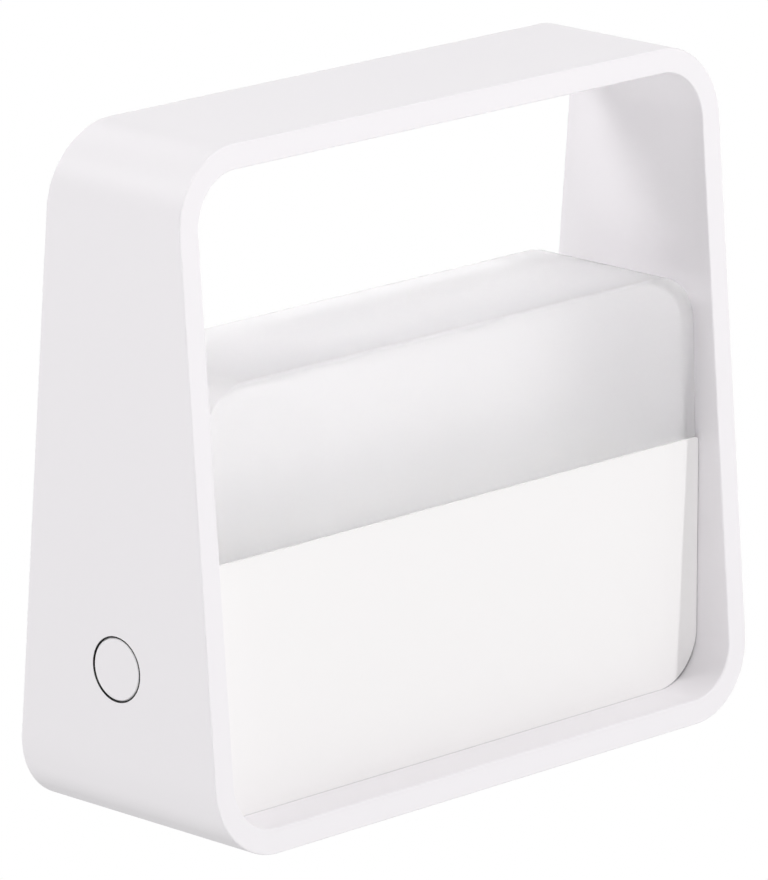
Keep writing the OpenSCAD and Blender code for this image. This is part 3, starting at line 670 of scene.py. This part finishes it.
ring_low, ring_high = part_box("frame_ring")
ring_h = ring_high[2] - ring_low[2]
depth_foot = 2 * ring_high[1]
button_low, button_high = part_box("button_cap")
button_z = (button_low[2] + button_high[2]) / 2
foot_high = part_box("foot_pads")[1]
foot_at = (foot_high[0] - FOOT_R, foot_high[1] - FOOT_R)


def frame_path():
    """Stations round the frame's outer outline, seen from the front: straight runs and four quarter
    turns. Gives each station's place in X and Z and its direction towards the inside."""
    half = ring_high[0]
    reach = half - FRAME_CORNER
    low, high = ring_low[2] + FRAME_CORNER, ring_high[2] - FRAME_CORNER
    near_foot = np.linspace(foot_at[0] - HOLE_ROOM, foot_at[0] + HOLE_ROOM, FOOT_STATIONS)
    bottom = np.concatenate([-near_foot[::-1], np.linspace(-FLOOR_SPAN, FLOOR_SPAN, 3), near_foot])
    near_button = np.linspace(button_z + BUTTON_ROOM, button_z - BUTTON_ROOM, BUTTON_STATIONS)
    left = np.concatenate([np.linspace(high, near_button[0], 5)[1:-1], near_button])
    quarter = np.array([0.25, 0.5, 0.75])
    runs = [
        (bottom, np.full(bottom.size, ring_low[2]), 0.0, 1.0),
        (np.full(3, half), low + quarter * (high - low), -1.0, 0.0),
        (reach * (1 - 2 * quarter), np.full(3, ring_high[2]), 0.0, -1.0),
        (np.full(left.size, -half), left, 1.0, 0.0),
    ]
    turns = [(reach, low, -90.0), (reach, high, 0.0), (-reach, high, 90.0), (-reach, low, 180.0)]
    x, z, nx, nz = [], [], [], []
    for (run_x, run_z, in_x, in_z), (middle_x, middle_z, start) in zip(runs, turns):
        a = np.radians(np.linspace(start, start + 90.0, FRAME_TURN_STEPS))
        x += [run_x, middle_x + FRAME_CORNER * np.cos(a)]
        z += [run_z, middle_z + FRAME_CORNER * np.sin(a)]
        nx += [np.full(run_x.size, in_x), -np.cos(a)]
        nz += [np.full(run_x.size, in_z), -np.sin(a)]
    return [np.concatenate(v) for v in (x, z, nx, nz)]


def frame_section():
    """One loop round the band's wall: how far in from the outside, the share of the half depth, and
    how far back from the leaning face. Flat outside, rounded edge, rear face, rounded edge, and so on."""
    t = np.radians(np.linspace(0.0, 90.0, EDGE_STEPS + 2))[1:-1]
    e, w = FRAME_EDGE, FRAME_WALL
    round_in, round_back = e * (1 - np.cos(t)), e * (1 - np.sin(t))
    across = np.array([e, EDGE_HOLD * e, w / 2, w - EDGE_HOLD * e, w - e])
    n = FACE_STEPS.size
    around = 2 * EDGE_STEPS + ACROSS_STEPS
    inward = np.concatenate([
        np.zeros(n), round_in, across, w - round_in[::-1],
        np.full(n, w), w - round_in, across[::-1], round_in[::-1],
    ])
    share = np.concatenate([FACE_STEPS, np.ones(around), -FACE_STEPS, -np.ones(around)])
    half_back = np.concatenate([np.full(n, e), round_back, np.zeros(ACROSS_STEPS), round_back[::-1]])
    return inward, share, np.concatenate([half_back, half_back])


def frame_holes(x, z, nx, nz):
    """The button's bore in the left side and the four foot recesses. Each has the stations and the steps
    of a face that it takes out, the middle of its mouth, its axis into the wall, and its rings, given by
    radius and depth."""
    n = FACE_STEPS.size
    r = BUTTON_HOLE_R
    a = np.radians([0, 30, 60, 90])
    rounded = zip(r + HOLE_ROUND * (1 - np.sin(a)), HOLE_ROUND * (1 - np.cos(a)))
    bore = [(r + BUTTON_MARGIN, 0.0), *rounded, (r, BUTTON_LIP - HOLE_ROUND), (r, BUTTON_LIP)]
    bore += [(BUTTON_POCKET_R, depth) for depth in (BUTTON_LIP, FRAME_WALL - HOLE_ROUND, FRAME_WALL)]
    left = np.flatnonzero((nx == 1.0) & (np.abs(z - button_z) < BUTTON_ROOM + HOLE_ROUND))
    holes = [(left[[0, -1]], (1, n - 2), (ring_low[0], 0.0, button_z), (1, 0, 0), bore)]
    recess = [
        (FOOT_RECESS[0], 0.0), FOOT_RECESS, (HEAD_RECESS[0], FOOT_RECESS[1]), HEAD_RECESS,
        (SCREW_HOLE_R, HEAD_RECESS[1]), (SCREW_HOLE_R, FRAME_WALL),
    ]
    for sx in (-1, 1):
        foot = np.flatnonzero((nz == 1.0) & (np.abs(x * sx - foot_at[0]) < HOLE_ROOM + HOLE_ROUND))
        for sy, steps in ((-1, (1, n // 2)), (1, (n // 2, n - 2))):
            mouth = (sx * foot_at[0], sy * foot_at[1], ring_low[2])
            holes.append((foot[[0, -1]], steps, mouth, (0, 0, 1), recess))
    return holes


def window_edge(stations, steps, face, cols):
    """Corner numbers round the window that a hole takes out of a face: along it, across, back, across."""
    run, side = np.arange(*stations), np.arange(*steps)
    return np.concatenate([
        run * cols + face[steps[0]], stations[1] * cols + face[side],
        (run + 1)[::-1] * cols + face[steps[1]], stations[0] * cols + face[side + 1][::-1],
    ])


def in_window(quads, stations, steps, face, cols):
    """True for the quads of the grid that lie in that window."""
    i, j = quads[:, 0] // cols, quads[:, 0] % cols
    low, high = sorted((face[steps[0]], face[steps[1]]))
    return (i >= stations[0]) & (i < stations[1]) & (j >= low) & (j < high)


def frame_surface():
    """Every station of the path times every point of the section: in by the wall, and out along Y to
    the leaning face at that height. Each hole is then let in as a grid, from its window in the face
    outside through its rings to its window in the face inside."""
    x, z, nx, nz = frame_path()
    inward, share, back = frame_section()
    px = x[:, None] + nx[:, None] * inward
    pz = z[:, None] + nz[:, None] * inward
    half = (depth_foot - (pz - ring_low[2]) / ring_h * (depth_foot - FRAME_DEPTH_TOP)) / 2
    py = share * (half - back)
    rows, cols = px.shape
    points = [np.stack([px, py, pz], -1).reshape(-1, 3)]
    quads = grid_quads(rows, cols, True, True)
    outside = np.arange(FACE_STEPS.size)
    within = FACE_STEPS.size + 2 * EDGE_STEPS + ACROSS_STEPS + outside[::-1]
    count = rows * cols
    linings = []
    for stations, steps, mouth, axis, rings in frame_holes(x, z, nx, nz):
        edges = [window_edge(stations, steps, face, cols) for face in (outside, within)]
        for face in (outside, within):
            quads = quads[~in_window(quads, stations, steps, face, cols)]
        mouth, axis = np.array(mouth), np.array(axis, float)
        flat = points[0][edges[0]] - mouth
        flat = flat - np.outer(flat @ axis, axis)
        ray = flat / np.linalg.norm(flat, axis=1)[:, None]
        body = np.stack([mouth + depth * axis + radius * ray for radius, depth in rings])
        size = len(edges[0])
        ids = count + np.arange(body.shape[0] * size).reshape(-1, size)
        ids = np.concatenate([edges[0][None], ids, edges[1][None]])
        linings.append(ids.ravel()[grid_quads(len(ids), size, False, True)])
        points.append(body.reshape(-1, 3))
        count += body.shape[0] * size
    return np.concatenate(points), np.concatenate([quads[:, ::-1]] + linings)


def frame_plastic(name):
    """Satin white moulding with fine grain. Low on the band, where its underside turns down to the table,
    it is rougher and painted darker as shade.
    """
    mat, shade, where = surface(name)
    patch = cloud(mat, where, PATCH_SCALE, 3.0)
    pits = cloud(mat, where, GRAIN_SCALE)
    turned = axes(mat, put(mat, "NewGeometry", {}).outputs["Normal"])[2]
    # Painted shade: faces turned down to the table, low on the band, are made darker as well as rougher.
    dust_and_shade = calc(mat, "MULTIPLY", carry(mat, turned, 0.0, 1.0, -0.35, -0.95),
                inside(mat, axes(mat, where)[2], UNDERSIDE_SHADE_H, UNDERSIDE_SHADE_FADE))
    white = tone(mat, patch, [c * 0.988 for c in FRAME_WHITE], FRAME_WHITE)
    link(mat, shade, {
        "Base Color": tone(mat, dust_and_shade, white, FRAME_UNDERSIDE_SHADE),
        "Roughness": carry(mat, calc(mat, "ADD", patch, dust_and_shade), 0.38, 0.56, 0.0, 2.0),
        "Normal": relief(mat, pits, 0.12, GRAIN_DEPTH),
    })
    return mat


ring_points, ring_quads = frame_surface()
ring = new_piece(
    "frame_band", ring_points, [ring_quads], frame_plastic("frame_white_satin"), "lamp")
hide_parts("frame_ring")

# Push button
# A flush white disc, turned with a flange that sits behind the frame's lip, in a black silicone seal whose
# sleeve fills the gap and shows as a dark line; its near-black colour is also painted shade, for the shade
# deep in the gap. A steel spring returns it; a nylon pin reaches the switch.
SEAL_AND_GAP_SHADE_BLACK = (0.006, 0.006, 0.006)
SPRING_STEEL = (0.55, 0.55, 0.56)
SPRING_WIRE = 0.0006
SPRING_TURNS = 2.5
SPRING_STEPS = 60
WIRE_SIDES = 8
spring_low, spring_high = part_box("button_spring")


def spring_surface():
    """A round wire carried along a helix about the button's axis: at each station a ring of points turns in
    the plane of the outward direction and of the one square to it and to the wire. Quads close both ends."""
    middle = (np.array(spring_low) + np.array(spring_high)) / 2
    reach = (spring_high[1] - spring_low[1] - SPRING_WIRE) / 2
    rise = spring_high[0] - spring_low[0] - SPRING_WIRE
    a = np.linspace(0, 2 * np.pi * SPRING_TURNS, SPRING_STEPS + 1)
    none = np.zeros_like(a)
    out = np.stack([none, np.sin(a), -np.cos(a)], 1)
    run = np.stack([none + rise / a[-1], reach * np.cos(a), reach * np.sin(a)], 1)
    side = np.cross(out, run / np.linalg.norm(run, axis=1)[:, None])
    core = middle + reach * out
    core[:, 0] = spring_low[0] + SPRING_WIRE / 2 + rise * a / a[-1]
    turn = 2 * np.pi * np.arange(WIRE_SIDES) / WIRE_SIDES
    circle = np.cos(turn)[None, :, None] * out[:, None] + np.sin(turn)[None, :, None] * side[:, None]
    points = core[:, None] + SPRING_WIRE / 2 * circle
    k = np.arange(WIRE_SIDES // 2 - 1)
    lid = np.stack([k, k + 1, WIRE_SIDES - 2 - k, WIRE_SIDES - 1 - k], 1)
    lids = np.concatenate([lid, lid[:, ::-1] + SPRING_STEPS * WIRE_SIDES])
    return points.reshape(-1, 3), grid_quads(SPRING_STEPS + 1, WIRE_SIDES, close_cols=True), lids


dress(["button_cap"], satin_plastic("button_white_satin", FRAME_WHITE, 0.40, 0.12))
# The seal's near-black colour is partly painted shade: it also stands for the shade deep in the gap round the
# button.
dress(["button_gasket"], soft_rubber("seal_black_silicone_and_gap_shade", SEAL_AND_GAP_SHADE_BLACK))
dress(["push_pin"], natural_nylon("pin_natural_nylon"))
spring_points, *spring_faces = spring_surface()
spring = new_piece(
    "return_spring", spring_points, spring_faces,
    plated_steel("spring_steel", SPRING_STEEL), "lamp")
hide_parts("button_spring")
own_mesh(spring)

# Frame screws and feet
# Four zinc plated screws come up through the frame's floor into the shells, and a grey rubber foot is
# pressed into the recess over each head.
FOOT_GREY = (0.045, 0.045, 0.048)
dress(["frame_screws"], zinc_screw)
dress(["foot_pads"], soft_rubber("foot_grey_rubber", FOOT_GREY))

# Floor, light and camera
# A plain white table that glows evenly and a white sweep behind it, lit by square soft panels: a small key
# from the right of the front, the others wide, from the rear left, the front, above, the right and the rear.
FLOOR_HALF = 8.0
FLOOR_GLOW = 1.0
SURROUND = 0.03
SWEEP_GLOW = 1.0
SWEEP_WAY = (0.7071, 0.7071, 0.0)
SWEEP_WIDTH = (0.2, 0.9)
SWEEP_RISE = (0.25, 0.6)
LIGHT_DIST = 2.5
LIGHT_AIM = np.array([0.0, 0.0, 0.1])
# Each panel has an azimuth and an elevation in degrees, a side in metres and a power in watts
PANELS = [
    ("rear_left_panel", -124, 41, 0.9, 30.0),
    ("front_fill", -33, 14, 0.9, 14.8),
    ("top_fill", -20, 50, 1.2, 14.0),
    ("key_panel", 37, 40, 0.12, 23.5),
    ("right_panel", 60, 50, 0.9, 8.0),
    ("rear_panel", 176, 24, 1.8, 23.0),
]
VIEW_AZ = -45.4155
VIEW_EL = 14.9518
VIEW_DIST = 2.4957
VIEW_SHIFT = (-0.0022785, -0.0053433)
VIEW_LENS = 324.31
VIEW_SENSOR = 36.0

floor_mesh = bpy.data.meshes.new("floor")
floor_corners = [(sx * FLOOR_HALF, sy * FLOOR_HALF, 0) for sx, sy in ((-1, -1), (1, -1), (1, 1), (-1, 1))]
floor_mesh.from_pydata(floor_corners, [], [(0, 1, 2, 3)])
floor = bpy.data.objects.new("floor", floor_mesh)
bpy.context.scene.collection.objects.link(floor)
floor_mat = surface("pale_floor", {
    "Base Color": (0, 0, 0, 1), "Roughness": 0.8, "Specular IOR Level": 0.0,
    "Emission Color": (1, 1, 1, 1), "Emission Strength": FLOOR_GLOW,
})[0]
floor_mesh.materials.append(floor_mat)

world = bpy.data.worlds.new("surround")
world.use_nodes = True
way = put(world, "TexCoord", {}).outputs["Generated"]
low = carry(world, axes(world, way)[2], 1.0, 0.0, *SWEEP_RISE)
behind = put(world, "VectorMath", {0: way, 1: SWEEP_WAY}, operation="DOT_PRODUCT").outputs["Value"]
sweep = calc(world, "MULTIPLY", low, carry(world, behind, 0.0, 1.0, *SWEEP_WIDTH))
backdrop = world.node_tree.nodes["Background"]
backdrop.inputs["Color"].default_value = (1, 1, 1, 1)
link(world, backdrop, {"Strength": carry(world, sweep, SURROUND, SWEEP_GLOW)})
bpy.context.scene.world = world


def toward(azimuth, elevation):
    """The direction from the lamp at an azimuth, counted from the front to the right, and an elevation."""
    a, e = math.radians(azimuth), math.radians(elevation)
    return np.array([math.sin(a) * math.cos(e), -math.cos(a) * math.cos(e), math.sin(e)])


def stand(name, data, place, azimuth, elevation):
    """Puts a light or a camera at a place, turned to look back along its azimuth and elevation."""
    made = bpy.data.objects.new(name, data)
    made.location = place
    made.rotation_euler = (math.pi / 2 - math.radians(elevation), 0, math.radians(azimuth))
    bpy.context.scene.collection.objects.link(made)
    return made


for name, azimuth, elevation, side, power in PANELS:
    light = bpy.data.lights.new(name, "AREA")
    light.shape = "SQUARE"
    light.size = side
    light.energy = power
    stand(name, light, LIGHT_AIM + LIGHT_DIST * toward(azimuth, elevation), azimuth, elevation)

back = toward(VIEW_AZ, VIEW_EL)
right = np.array([math.cos(math.radians(VIEW_AZ)), math.sin(math.radians(VIEW_AZ)), 0.0])
upward = np.cross(back, right)
aim = np.array([0, 0, (ring_low[2] + ring_high[2]) / 2]) + VIEW_SHIFT[0] * right + VIEW_SHIFT[1] * upward
camera_data = bpy.data.cameras.new("camera")
camera_data.lens = VIEW_LENS
camera_data.sensor_width = VIEW_SENSOR
camera_data.clip_start = 0.1
camera_data.clip_end = 50.0
bpy.context.scene.camera = stand("camera", camera_data, aim + back * VIEW_DIST, VIEW_AZ, VIEW_EL)
bpy.context.scene.view_settings.view_transform = "Standard"
